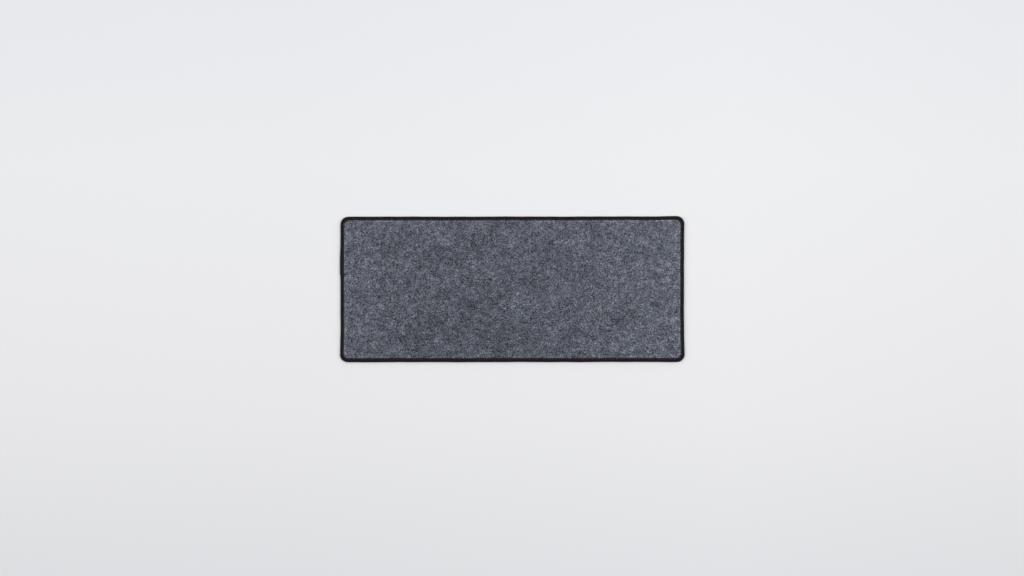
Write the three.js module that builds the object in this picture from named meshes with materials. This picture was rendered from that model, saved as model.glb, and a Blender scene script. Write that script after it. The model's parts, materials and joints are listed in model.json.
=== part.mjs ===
// Desk pad: a felt top bonded to a rubber base, with an overlocked edge all round.
// Millimetres. +X runs along the width, +Y towards the far edge and +Z up.
// The origin is the middle of the underside, on the table.

import * as THREE from 'three';

// Outline over the stitching
const WIDTH = 700;
const DEPTH = 296;
const CORNER_RADIUS = 15.5;

// Layers of the laminate, from the table up
const RUBBER_THICKNESS = 1.5;
const FILM_THICKNESS = 0.2;
const FELT_THICKNESS = 2.5;

// Looper threads, which cover the rim on both sides and lock together along the cut edge
const BAND_WIDTH = 6;
const EDGE_THREAD = 0.9;
const UPPER_THREAD = 1.1;
const UPPER_TOE = 1.7;
const UPPER_SHOULDER = 1.3;
const UPPER_SHOULDER_DROP = 0.25;
const LOWER_THREAD = 0.6;
const LOWER_TOE = 0.8;
const LOWER_SHOULDER = 1.6;

// Stitches: each is a rib of thread that leans forward from the needle line to the edge
const STITCH_PITCH = 4.5;
const STITCH_LEAN = 2.2;
const STITCH_RELIEF = 0.35;

// Needle thread, a line of straight stitches along the inner side of the band
const NEEDLE_THREAD = 0.8;

// What the tight seam does to the laminate
const FELT_PRESS = 0.8;
const FELT_RISE = 2.5;
const FELT_EDGE_ROUND = 0.7;
const RUBBER_RISE = 1.5;
const RUBBER_EDGE_ROUND = 0.3;

// Closing run of stitches on the left side, sewn over the start of the seam
const OVERLAP_START = 31;
const OVERLAP_LENGTH = 54;
const OVERLAP_EDGE_THREAD = 1;
const OVERLAP_CROWN_THREAD = 0.5;
const OVERLAP_LEAD_IN = 3;
const OVERLAP_RUN_OUT = 14;
const OVERLAP_END_FULLNESS = 0.3;
const OVERLAP_TOE_SHARE = 0.4;

// Clearance between a thread and what it is sewn on
const SEAT_GAP = 0.2;

// Fineness of the facets
const CORNER_STEPS = 7;
const CURVE_STEPS = 2;
const NEEDLE_SIDES = 6;
const RUN_STEP = 120;
const LEAST_BEND = 0.5;
const SAME_POINT = 1e-6;

const QUARTER = Math.PI / 2;
const HALF = Math.PI;

// Levels and insets, worked out from the sizes above. An inset is measured inwards from the outline.
const feltBottom = RUBBER_THICKNESS + FILM_THICKNESS;
const feltTop = feltBottom + FELT_THICKNESS;
const pressedTop = feltTop - FELT_PRESS;
const upperSeat = pressedTop + SEAT_GAP;
const bandTop = upperSeat + UPPER_THREAD;
const pressedBottom = LOWER_THREAD + SEAT_GAP;
const lockLevel = (pressedTop + pressedBottom) / 2;
const upperLock = lockLevel + SEAT_GAP / 2;
const lowerLock = lockLevel - SEAT_GAP / 2;
const cutEdge = EDGE_THREAD + SEAT_GAP;
const needleLine = BAND_WIDTH + SEAT_GAP + NEEDLE_THREAD / 2;
const seamWidth = needleLine + NEEDLE_THREAD / 2 + SEAT_GAP;
const feltRound = Math.min(FELT_EDGE_ROUND, (pressedTop - feltBottom) / 2);
const rubberRound = Math.min(RUBBER_EDGE_ROUND, (RUBBER_THICKNESS - pressedBottom) / 2);

// The outline, walked anticlockwise: four corners, each followed by a straight run
const cornerSigns = [[1, 1], [-1, 1], [-1, -1], [1, -1]].map(([x, y]) => new THREE.Vector2(x, y));
const anchorSpan = new THREE.Vector2(WIDTH / 2 - CORNER_RADIUS, DEPTH / 2 - CORNER_RADIUS);
const cornerAnchors = cornerSigns.map((sign) => sign.clone().multiply(anchorSpan));
const cornerLength = CORNER_RADIUS * QUARTER;
const runLengths = cornerAnchors.map((anchor, i) => anchor.distanceTo(cornerAnchors[(i + 1) % 4]));
const perimeter = runLengths.reduce((sum, run) => sum + run + cornerLength, 0);

function outwardAt(angle) {
  return new THREE.Vector2(Math.cos(angle), Math.sin(angle));
}

// Station at a distance along the outline: an anchor one corner radius inside it, the outward
// direction, and the way in which the anchor moves where an inset is deeper than the corner.
function stationAt(distance) {
  let left = THREE.MathUtils.euclideanModulo(distance, perimeter);
  let corner = 0;
  while (left > cornerLength + runLengths[corner]) {
    left -= cornerLength + runLengths[corner];
    corner += 1;
  }
  const anchor = cornerAnchors[corner];
  if (left <= cornerLength) {
    const outward = outwardAt(QUARTER * (corner + left / cornerLength));
    return { anchor, outward, shift: cornerSigns[corner] };
  }
  const share = (left - cornerLength) / runLengths[corner];
  const outward = outwardAt(QUARTER * (corner + 1));
  return { anchor: anchor.clone().lerp(cornerAnchors[(corner + 1) % 4], share), outward, shift: outward };
}

// Stations of a smooth sweep: close together round the corners, wide apart on the runs.
function smoothStations() {
  const list = [];
  let start = 0;
  runLengths.forEach((run) => {
    for (let step = 0; step <= CORNER_STEPS; step += 1) {
      list.push(stationAt(start + (cornerLength * step) / CORNER_STEPS));
    }
    start += cornerLength;
    const parts = Math.ceil(run / RUN_STEP);
    for (let part = 1; part < parts; part += 1) {
      list.push(stationAt(start + (run * part) / parts));
    }
    start += run;
  });
  return list;
}

const sweepStations = smoothStations();

// A point at a station, at an inset from the outline and a height above the table.
function pointAt(station, inset, height) {
  const reach = CORNER_RADIUS - inset;
  const bend = Math.max(reach, LEAST_BEND);
  const place = station.anchor.clone();
  place.addScaledVector(station.shift, reach - bend);
  place.addScaledVector(station.outward, bend);
  return new THREE.Vector3(place.x, place.y, height);
}

// Points of a path, without repeats where its pieces meet.
function pathPoints(path) {
  const points = path.getPoints(CURVE_STEPS);
  const apart = (point, i) => i === 0 || point.distanceTo(points[i - 1]) > SAME_POINT;
  const kept = points.filter(apart);
  if (kept[0].distanceTo(kept[kept.length - 1]) <= SAME_POINT) {
    kept.pop();
  }
  return kept;
}

// Triangles over a flat ring, as index triples that turn the way the ring does.
function capTriangles(ring) {
  const size = new THREE.Box3().setFromPoints(ring).getSize(new THREE.Vector3());
  const upright = size.z > Math.min(size.x, size.y);
  const flat = ring.map((p) => (upright ? new THREE.Vector2(p.x, p.z) : new THREE.Vector2(p.x, p.y)));
  const triangles = THREE.ShapeUtils.triangulateShape(flat, []);
  return triangles.map((triangle) => [...triangle].sort((a, b) => a - b));
}

// Six times the volume inside an indexed skin, negative where its faces point in.
function signedVolume(geometry) {
  const position = geometry.getAttribute('position');
  const index = geometry.getIndex();
  const [a, b, c] = [new THREE.Vector3(), new THREE.Vector3(), new THREE.Vector3()];
  let sum = 0;
  for (let i = 0; i < index.count; i += 3) {
    a.fromBufferAttribute(position, index.getX(i));
    b.fromBufferAttribute(position, index.getX(i + 1));
    c.fromBufferAttribute(position, index.getX(i + 2));
    sum += a.dot(b.cross(c));
  }
  return sum;
}

// Closed skin through rings of equal length. The rings join into a loop, or end in flat caps.
function loft(rings, isLoop) {
  const count = rings[0].length;
  const spans = isLoop ? rings.length : rings.length - 1;
  const index = [];
  for (let span = 0; span < spans; span += 1) {
    const here = span * count;
    const next = ((span + 1) % rings.length) * count;
    for (let i = 0; i < count; i += 1) {
      const j = (i + 1) % count;
      index.push(here + i, here + j, next + j);
      index.push(here + i, next + j, next + i);
    }
  }
  if (!isLoop) {
    const last = (rings.length - 1) * count;
    capTriangles(rings[0]).forEach(([i, j, k]) => index.push(k, j, i));
    capTriangles(rings[rings.length - 1]).forEach(([i, j, k]) => index.push(last + i, last + j, last + k));
  }
  const geometry = new THREE.BufferGeometry().setFromPoints(rings.flat());
  geometry.setIndex(index);
  if (signedVolume(geometry) < 0) {
    geometry.setIndex(index.reverse());
  }
  geometry.computeVertexNormals();
  return geometry;
}

// Sheet whose rim follows a profile of insets and heights, from its lower face to its upper one.
function sheet(profile) {
  const points = pathPoints(profile);
  return loft(points.map((p) => sweepStations.map((station) => pointAt(station, p.x, p.y))), false);
}

// Ring of one section, in insets and heights, laid round the whole outline.
function sewnRing(section) {
  const points = pathPoints(section);
  return loft(sweepStations.map((station) => points.map((p) => pointAt(station, p.x, p.y))), true);
}

// A run of points moved sideways, each by its own distance, to the right of the way it goes.
function movedAside(points, distances) {
  return points.map((point, i) => {
    const before = points[Math.max(i - 1, 0)];
    const after = points[Math.min(i + 1, points.length - 1)];
    const along = after.clone().sub(before).normalize();
    return new THREE.Vector2(point.x + along.y * distances[i], point.y - along.x * distances[i]);
  });
}

// Felt: full thickness in the field, pressed down under the seam, with a softened cut edge.
function feltTopGeometry() {
  const rim = new THREE.Path();
  rim.moveTo(cutEdge, feltBottom);
  rim.lineTo(cutEdge, pressedTop - feltRound);
  rim.absarc(cutEdge + feltRound, pressedTop - feltRound, feltRound, HALF, QUARTER, true);
  rim.lineTo(seamWidth, pressedTop);
  const middle = seamWidth + FELT_RISE / 2;
  rim.bezierCurveTo(middle, pressedTop, middle, feltTop, seamWidth + FELT_RISE, feltTop);
  return sheet(rim);
}

// Adhesive film: a flat sheet between felt and rubber, cut with them.
function adhesiveFilmGeometry() {
  const outline = sweepStations.map((station) => pointAt(station, cutEdge, 0));
  const shape = new THREE.Shape(outline.map((p) => new THREE.Vector2(p.x, p.y)));
  const geometry = new THREE.ExtrudeGeometry(shape, { depth: FILM_THICKNESS, bevelEnabled: false });
  return geometry.translate(0, 0, RUBBER_THICKNESS);
}

// Rubber: flat on the table, pressed up round the rim so that the stitches don't lift the pad.
function rubberBaseGeometry() {
  const rim = new THREE.Path();
  const middle = seamWidth + RUBBER_RISE / 2;
  rim.moveTo(seamWidth + RUBBER_RISE, 0);
  rim.bezierCurveTo(middle, 0, middle, pressedBottom, seamWidth, pressedBottom);
  rim.lineTo(cutEdge + rubberRound, pressedBottom);
  rim.absarc(cutEdge + rubberRound, pressedBottom + rubberRound, rubberRound, -QUARTER, -HALF, true);
  rim.lineTo(cutEdge, RUBBER_THICKNESS);
  return sheet(rim);
}

// Outside of the upper looper's bead, from its foot at the needle line to the lock on the cut edge
const bandFoot = new THREE.Vector2(BAND_WIDTH, upperSeat);
const bandCrown = new THREE.Vector2(BAND_WIDTH - UPPER_TOE, bandTop);
const bandShoulder = new THREE.Vector2(UPPER_SHOULDER, bandTop - UPPER_SHOULDER_DROP);
const bandLock = new THREE.Vector2(0, upperLock);

// Upper looper: a bead over the felt's rim, ribbed by its stitches, with a valley after each rib.
function upperLooperGeometry() {
  const rib = [bandFoot, bandCrown, bandShoulder, bandLock];
  const valley = movedAside(rib, [0, -STITCH_RELIEF, -STITCH_RELIEF, -STITCH_RELIEF]);
  const inside = [new THREE.Vector2(EDGE_THREAD, upperLock), new THREE.Vector2(EDGE_THREAD, upperSeat)];
  const stitches = Math.round(perimeter / STITCH_PITCH);
  const rings = [];
  for (let half = 0; half < 2 * stitches; half += 1) {
    const section = [...(half % 2 === 0 ? rib : valley), ...inside];
    const distance = (perimeter * half) / (2 * stitches);
    rings.push(section.map((p) => {
      const lean = STITCH_LEAN * (1 - p.x / BAND_WIDTH);
      return pointAt(stationAt(distance + lean), p.x, p.y);
    }));
  }
  return loft(rings, true);
}

// Lower looper: the same under the rubber's rim, worn smooth and flat where it meets the table.
function lowerLooperGeometry() {
  const bead = new THREE.Shape();
  bead.moveTo(0, lowerLock);
  bead.absellipse(LOWER_SHOULDER, lowerLock, LOWER_SHOULDER, lowerLock, HALF, HALF + QUARTER, false);
  bead.lineTo(BAND_WIDTH - LOWER_TOE, 0);
  bead.absellipse(BAND_WIDTH - LOWER_TOE, LOWER_THREAD, LOWER_TOE, LOWER_THREAD, -QUARTER, 0, false);
  bead.lineTo(cutEdge + rubberRound, LOWER_THREAD);
  const roundLevel = pressedBottom + rubberRound;
  bead.absarc(cutEdge + rubberRound, roundLevel, rubberRound + SEAT_GAP, -QUARTER, -HALF, true);
  bead.lineTo(EDGE_THREAD, lowerLock);
  return sewnRing(bead);
}

// Needle thread: a round cord laid along the needle line, at the foot of the band.
function needleThreadGeometry() {
  const radius = NEEDLE_THREAD / 2;
  const cord = new THREE.Shape();
  for (let side = 0; side < NEEDLE_SIDES; side += 1) {
    const corner = outwardAt((2 * Math.PI * side) / NEEDLE_SIDES).multiplyScalar(radius);
    const inset = needleLine + corner.x;
    const height = upperSeat + radius + corner.y;
    if (side === 0) {
      cord.moveTo(inset, height);
    } else {
      cord.lineTo(inset, height);
    }
  }
  return sewnRing(cord);
}

// Section of the closing run, which wraps the band from its toe over the edge to near the table.
function overlapSection(fullness) {
  const toe = bandCrown.clone().lerp(bandFoot, OVERLAP_TOE_SHARE);
  const hem = new THREE.Vector2(0, LOWER_THREAD);
  const covered = [toe, bandCrown, bandShoulder, bandLock, hem];
  const crown = SEAT_GAP + OVERLAP_CROWN_THREAD * fullness;
  const edge = SEAT_GAP + OVERLAP_EDGE_THREAD * fullness;
  const inner = movedAside(covered, covered.map(() => SEAT_GAP));
  const outer = movedAside(covered, [crown, crown, (crown + edge) / 2, edge, crown]);
  return [...inner, ...outer.reverse()];
}

// How full the closing run is at a distance from its blunt near end: it thins out at the far end.
function overlapFullness(distance) {
  const leadIn = THREE.MathUtils.smoothstep(distance, 0, OVERLAP_LEAD_IN);
  const runOut = THREE.MathUtils.smoothstep(OVERLAP_LENGTH - distance, 0, OVERLAP_RUN_OUT);
  return THREE.MathUtils.lerp(OVERLAP_END_FULLNESS, 1, leadIn * runOut);
}

// Closing run: a second layer of ribs on the straight left side.
function seamOverlapGeometry() {
  const halves = 2 * Math.round(OVERLAP_LENGTH / STITCH_PITCH);
  const rings = [];
  for (let half = 0; half <= halves; half += 1) {
    const distance = (OVERLAP_LENGTH * half) / halves;
    const valley = half % 2 === 0 ? 0 : STITCH_RELIEF / OVERLAP_EDGE_THREAD;
    const section = overlapSection(overlapFullness(distance) * (1 - valley));
    rings.push(section.map((p) => new THREE.Vector3(p.x - WIDTH / 2, OVERLAP_START + distance, p.y)));
  }
  return loft(rings, false);
}

function finish(color, roughness) {
  return new THREE.MeshStandardMaterial({ color, roughness, metalness: 0 });
}

function piece(name, geometry, material) {
  const mesh = new THREE.Mesh(geometry, material);
  mesh.name = name;
  return mesh;
}

const laminate = new THREE.Group();
laminate.add(piece('rubber_base', rubberBaseGeometry(), finish(0x1d1e20, 0.9)));
laminate.add(piece('adhesive_film', adhesiveFilmGeometry(), finish(0xcfccc2, 0.6)));
laminate.add(piece('felt_top', feltTopGeometry(), finish(0x595d66, 1)));

const seam = new THREE.Group();
seam.add(piece('upper_looper_thread', upperLooperGeometry(), finish(0x282528, 0.8)));
seam.add(piece('lower_looper_thread', lowerLooperGeometry(), finish(0x242124, 0.8)));
seam.add(piece('needle_thread', needleThreadGeometry(), finish(0x201e20, 0.75)));
seam.add(piece('seam_overlap', seamOverlapGeometry(), finish(0x242124, 0.8)));

const deskPad = new THREE.Group();
deskPad.add(laminate, seam);

export default deskPad;
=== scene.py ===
"""Desk pad of mottled felt on a rubber base with a black overlocked edge, seen from straight above."""

from __future__ import annotations

import json
import logging
import math
from dataclasses import dataclass, field
from enum import Enum
from typing import Any, Iterable, Sequence

import bpy
import numpy as np
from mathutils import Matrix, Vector
from mathutils.geometry import delaunay_2d_cdt

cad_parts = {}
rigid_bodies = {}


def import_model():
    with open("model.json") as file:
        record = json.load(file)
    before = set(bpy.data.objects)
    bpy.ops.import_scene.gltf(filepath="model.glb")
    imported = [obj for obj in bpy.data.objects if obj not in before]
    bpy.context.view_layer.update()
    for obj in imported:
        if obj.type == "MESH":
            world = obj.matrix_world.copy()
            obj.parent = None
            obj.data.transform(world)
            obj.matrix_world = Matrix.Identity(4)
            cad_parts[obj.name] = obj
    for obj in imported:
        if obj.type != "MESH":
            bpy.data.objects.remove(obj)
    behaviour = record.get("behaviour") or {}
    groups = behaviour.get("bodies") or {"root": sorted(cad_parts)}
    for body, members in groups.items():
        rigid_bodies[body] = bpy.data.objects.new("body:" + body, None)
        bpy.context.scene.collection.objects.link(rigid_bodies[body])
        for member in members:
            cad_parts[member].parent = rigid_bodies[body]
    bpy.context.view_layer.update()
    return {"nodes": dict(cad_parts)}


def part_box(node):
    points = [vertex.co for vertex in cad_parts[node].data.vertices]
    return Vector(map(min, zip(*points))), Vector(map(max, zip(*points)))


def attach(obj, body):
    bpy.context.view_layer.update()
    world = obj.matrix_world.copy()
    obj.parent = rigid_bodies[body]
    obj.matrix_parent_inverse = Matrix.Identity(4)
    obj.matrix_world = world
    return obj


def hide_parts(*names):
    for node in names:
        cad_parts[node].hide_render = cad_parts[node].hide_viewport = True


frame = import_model()

LOG = logging.getLogger("desk_pad")
MM = 0.001
MIDDLE = (0.5, 0.5, 0.5)
ROW_STEP = math.sqrt(0.75)
# Kind of triangulation that keeps what lies inside the outline
KEEP_INSIDE = 1
Pair = tuple[float, float]
Triple = tuple[float, float, float]
Colour = Triple
Stop = tuple[float, Colour]
Shape = tuple[np.ndarray, list[list[int]]]


class Side(Enum):
    """Sides in walking order: depth of the seam against the drawn one, and draw-in between corners."""

    FAR = (1.09, 0.1 * MM)
    LEFT = (1.07, 0.5 * MM)
    NEAR = (1.21, 0.0)
    RIGHT = (1.085, 0.65 * MM)

    def __init__(self, bite: float, draw_in: float) -> None:
        """Keep the two sizes under their names."""
        self.bite = bite
        self.draw_in = draw_in


class Corner(Enum):
    """Corners in walking order: direction, extra depth of the seam, pull inwards, and shift."""

    FAR_RIGHT = ((1.0, 1.0), 0.19, 0.0, (0.2 * MM, 0.8 * MM))
    FAR_LEFT = ((-1.0, 1.0), 0.13, 0.7 * MM, (0.4 * MM, 0.45 * MM))
    NEAR_LEFT = ((-1.0, -1.0), 0.11, 0.2 * MM, (-0.6 * MM, -0.15 * MM))
    NEAR_RIGHT = ((1.0, -1.0), 0.09, 0.1 * MM, (0.6 * MM, -0.15 * MM))

    def __init__(self, way: Sequence[float], bite: float, pull: float, shift: Sequence[float]) -> None:
        """Keep the sizes under their names.

        Args:
            way: signs of the corner's two coordinates.
            bite: extra depth of the seam at the middle of the corner.
            pull: how far the middle of the corner is pulled in.
            shift: how far the whole corner is moved.
        """
        self.way = np.array(way)
        self.bite = bite
        self.pull = pull
        self.shift = np.array(shift)


class Slot(Enum):
    """Finish slots of the record."""

    FELT = "felt"
    THREAD = "thread"
    RUBBER = "rubber"
    ADHESIVE = "adhesive"


class Draw(Enum):
    """Random draws of the geometry trees, each with the number that sets it apart from the others."""

    SLIDE = 1
    WIDTH = 2
    HEIGHT = 3
    PITCH = 11
    ROLL = 12
    TURN = 13
    SIZE = 14
    TONE = 97


class NodeGraph:
    """Adds nodes to a tree and wires them by socket name."""

    def __init__(self, tree: bpy.types.NodeTree) -> None:
        """Start with an empty tree, whatever it held."""
        self.tree = tree
        tree.nodes.clear()

    def node(self, kind: str, inputs: dict[Any, Any] | None = None, **settings: Any) -> bpy.types.Node:
        """Add one node.

        Args:
            kind: type name of the node.
            inputs: constants or sockets for the node's inputs, by name or index.
            **settings: properties of the node, which are set before its inputs.

        Returns:
            The node.
        """
        made = self.tree.nodes.new(kind)
        for name, value in settings.items():
            setattr(made, name, value)
        for name, value in (inputs or {}).items():
            self.feed(made, name, value)
        return made

    def feed(self, node: bpy.types.Node, name: str | int, value: Any) -> None:
        """Set or link one input.

        Args:
            node: node that takes the value.
            name: name or index of the input.
            value: constant, or the socket that it comes from.
        """
        socket = node.inputs[name] if isinstance(name, int) else self.enabled(node.inputs, name)
        if isinstance(value, bpy.types.NodeSocket):
            self.tree.links.new(value, socket)
        else:
            socket.default_value = value

    @staticmethod
    def enabled(sockets: Any, name: str) -> bpy.types.NodeSocket:
        """Find the socket of that name that the node's settings use."""
        return next(socket for socket in sockets if socket.name == name and socket.enabled)

    def place(self) -> Any:
        """Give the socket of the object's own coordinates."""
        return self.node("ShaderNodeTexCoord").outputs["Object"]

    def attribute(self, name: str) -> Any:
        """Give the socket of a number that the mesh carries."""
        return self.node("ShaderNodeAttribute", attribute_name=name).outputs["Fac"]

    def parts(self, vector: Any) -> Any:
        """Split a vector into the sockets of its three parts."""
        return self.node("ShaderNodeSeparateXYZ", {0: vector}).outputs

    def joined(self, *parts: Any) -> Any:
        """Join up to three numbers or sockets into a vector and give its socket."""
        return self.node("ShaderNodeCombineXYZ", dict(enumerate(parts))).outputs[0]

    def math(self, operation: str, first: Any, second: Any = 0.0, clamp: bool = False) -> Any:
        """Add a math node for two numbers or sockets and give its result's socket."""
        settings = {"operation": operation, "use_clamp": clamp}
        return self.node("ShaderNodeMath", {0: first, 1: second}, **settings).outputs[0]

    def vector(self, operation: str, first: Any, second: Any) -> Any:
        """Add a vector math node for two vectors, or a vector and its scale, and give its result."""
        slot = 3 if operation == "SCALE" else 1
        return self.node("ShaderNodeVectorMath", {0: first, slot: second}, operation=operation).outputs[0]

    def noise(self, place: Any, size: float, detail: float = 2.0, roughness: float = 0.5) -> Any:
        """Add a noise texture with cells of that size and give its outputs."""
        inputs = {"Vector": place, "Scale": 1.0 / size, "Detail": detail, "Roughness": roughness}
        return self.node("ShaderNodeTexNoise", inputs).outputs

    def cells(self, place: Any, size: float) -> Any:
        """Add a flat cell texture with cells of that size and give its outputs."""
        inputs = {"Vector": place, "Scale": 1.0 / size}
        return self.node("ShaderNodeTexVoronoi", inputs, voronoi_dimensions="2D").outputs

    def joint(self, operation: str, values: Sequence[Any]) -> Any:
        """Chain a math operation over several values.

        Args:
            operation: operation of each step.
            values: numbers or sockets.

        Returns:
            The result's socket.
        """
        result = values[0]
        for value in values[1:]:
            result = self.math(operation, result, value)
        return result

    def swing(self, value: Any, weight: float, middle: float = 0.5) -> Any:
        """Turn a texture's value into a weighted departure from its middle."""
        return self.math("MULTIPLY", self.math("SUBTRACT", value, middle), weight)

    def ramp(self, value: Any, stops: Sequence[Stop]) -> Any:
        """Add a colour ramp over a range of values.

        Args:
            value: socket of the value.
            stops: values with linear colours, in order.

        Returns:
            The colour's socket.
        """
        first, last = stops[0][0], stops[-1][0]
        limits = {"Value": value, "From Min": first, "From Max": last}
        share = self.node("ShaderNodeMapRange", limits).outputs[0]
        made = self.node("ShaderNodeValToRGB", {"Fac": share})
        elements = made.color_ramp.elements
        while len(elements) < len(stops):
            elements.new(1.0)
        for element, (at, colour) in zip(elements, stops):
            element.position = (at - first) / (last - first)
            element.color = (*colour, 1.0)
        return made.outputs["Color"]


def linear(*levels: float) -> Colour:
    """Convert a display colour to a linear one.

    Args:
        *levels: red, green and blue from 0 to 255.

    Returns:
        The linear colour.
    """
    shares = [level / 255.0 for level in levels]
    return tuple(s / 12.92 if s <= 0.04045 else ((s + 0.055) / 1.055) ** 2.4 for s in shares)


def smooth(share: np.ndarray) -> np.ndarray:
    """Ease shares from 0 to 1 in and out."""
    return share * share * (3.0 - 2.0 * share)


@dataclass(frozen=True)
class Finish:
    """Base of the finishes: a named node material with one principled shader."""

    name: str = "finish"
    roughness: float = 0.9
    specular: float = 0.1
    sheen: float = 0.0
    sheen_roughness: float = 0.5

    def material(self) -> bpy.types.Material:
        """Make the material.

        Returns:
            The material.
        """
        made = bpy.data.materials.new(self.name)
        made.use_nodes = True
        graph = NodeGraph(made.node_tree)
        constants = {
            "Roughness": self.roughness,
            "Specular IOR Level": self.specular,
            "Sheen Weight": self.sheen,
            "Sheen Roughness": self.sheen_roughness,
        }
        shader = graph.node("ShaderNodeBsdfPrincipled", constants)
        self.wire(graph, shader)
        graph.node("ShaderNodeOutputMaterial", {"Surface": shader.outputs["BSDF"]})
        return made

    def wire(self, graph: NodeGraph, shader: bpy.types.Node) -> None:
        """Add what varies over the surface to the shader."""
        raise NotImplementedError

    @staticmethod
    def relief(graph: NodeGraph, shader: bpy.types.Node, height: Any, depth: float) -> None:
        """Shade small relief, from a height of 0 to 1 and the depth of a full step."""
        inputs = {"Height": height, "Strength": 1.0, "Distance": depth}
        graph.feed(shader, "Normal", graph.node("ShaderNodeBump", inputs).outputs["Normal"])

    @staticmethod
    def tint(graph: NodeGraph, shader: bpy.types.Node, value: Any, stops: Iterable[Stop]) -> None:
        """Colour the surface by a value, from pairs of a value and a linear colour."""
        graph.feed(shader, "Base Color", graph.ramp(value, list(stops)))


@dataclass(frozen=True)
class Streaks:
    """Fibres drawn as stretched noise in several directions, over coordinates that curl to and fro."""

    length: float
    width: float
    detail: float
    curl_size: float
    # Step from the noise of one direction to that of the next
    apart: float
    curl_reach: float = 7.0 * MM
    roughness: float = 0.55
    angles: tuple[float, ...] = (4.0, 36.0, 66.0, 133.0, 167.0)
    apart_way: Triple = (1.0, 0.51, 1.43)

    def curled(self, graph: NodeGraph, place: Any) -> Any:
        """Bend the coordinates to and fro and give their socket."""
        curl = graph.vector("SUBTRACT", graph.noise(place, self.curl_size)["Color"], MIDDLE)
        return graph.vector("ADD", place, graph.vector("SCALE", curl, self.curl_reach))

    def layers(self, graph: NodeGraph, curled: Any) -> list[Any]:
        """Add the streaks of every direction.

        Args:
            graph: tree of the material.
            curled: bent coordinates.

        Returns:
            Outputs of each direction's noise.
        """
        layers = []
        for number, angle in enumerate(self.angles, start=1):
            inputs = {
                "Vector": curled,
                "Location": np.array(self.apart_way) * self.apart * number,
                "Rotation": (0.0, 0.0, math.radians(angle)),
                "Scale": (self.length, self.width, self.width),
            }
            turned = graph.node("ShaderNodeMapping", inputs, vector_type="TEXTURE").outputs["Vector"]
            layers.append(graph.noise(turned, 1.0, self.detail, self.roughness))
        return layers


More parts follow.
